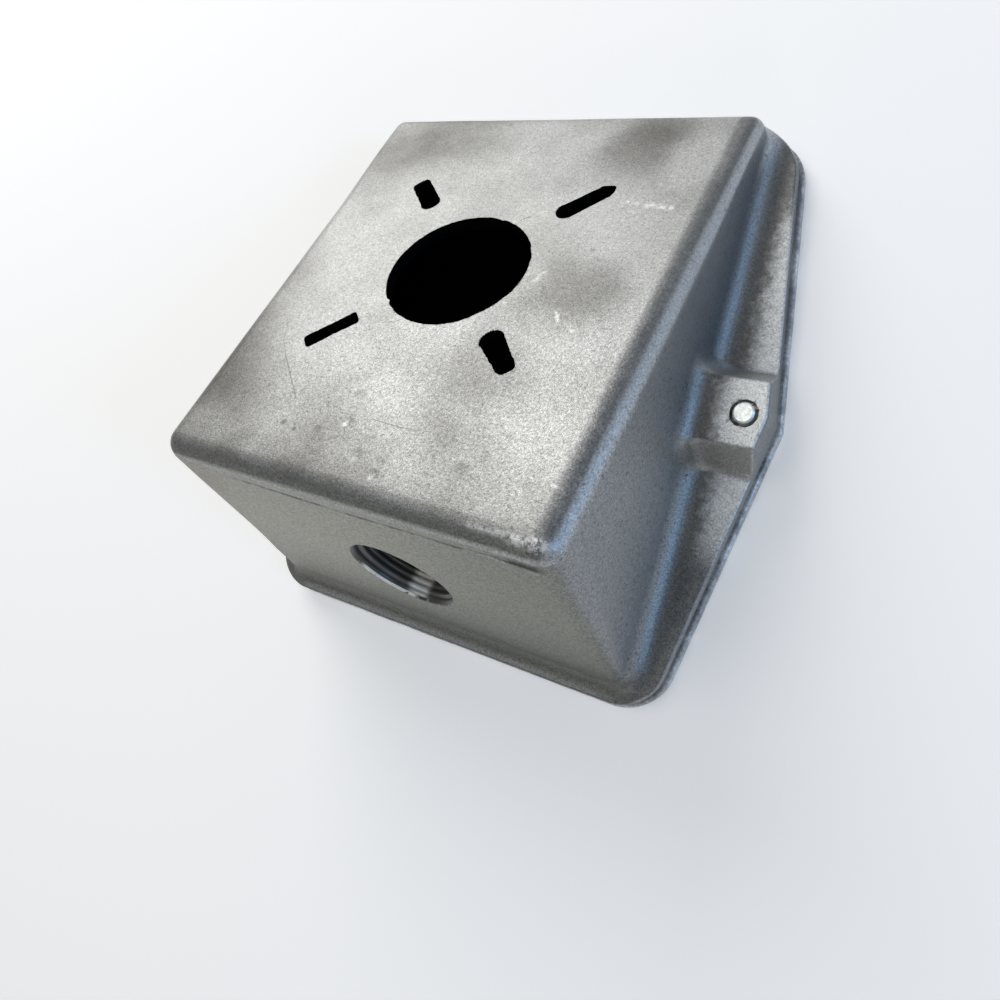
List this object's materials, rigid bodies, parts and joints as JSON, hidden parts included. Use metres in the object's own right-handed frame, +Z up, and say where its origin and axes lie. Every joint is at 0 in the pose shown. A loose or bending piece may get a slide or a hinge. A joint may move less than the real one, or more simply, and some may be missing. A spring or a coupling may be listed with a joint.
{
  "type": "angled die cast housing",
  "caption": "Wedge-shaped die cast aluminium housing with a slanted face that has a round hole and radial slots, a threaded conduit entry, and a flange screwed to a flat cover plate.",
  "frame": {"origin": "middle of the cover plate's underside, on which the object rests", "axes": "+X along the tall near wall, to the right when the conduit entry faces the viewer; +Y from the near wall to the short far wall; +Z up"},
  "size_m": [0.1476, 0.1466, 0.0675],
  "materials": {
    "housing_metal": "as cast, matte and grainy",
    "cover_metal": "dull, slightly mottled",
    "gasket_rubber": "matte black",
    "screw_steel": "bright zinc plate"
  },
  "bodies": {
    "root": {"housing": "housing_metal", "cover_plate": "cover_metal", "cover_gasket": "gasket_rubber", "cover_screw_right": "screw_steel", "cover_screw_left": "screw_steel"}
  },
  "joints": []
}
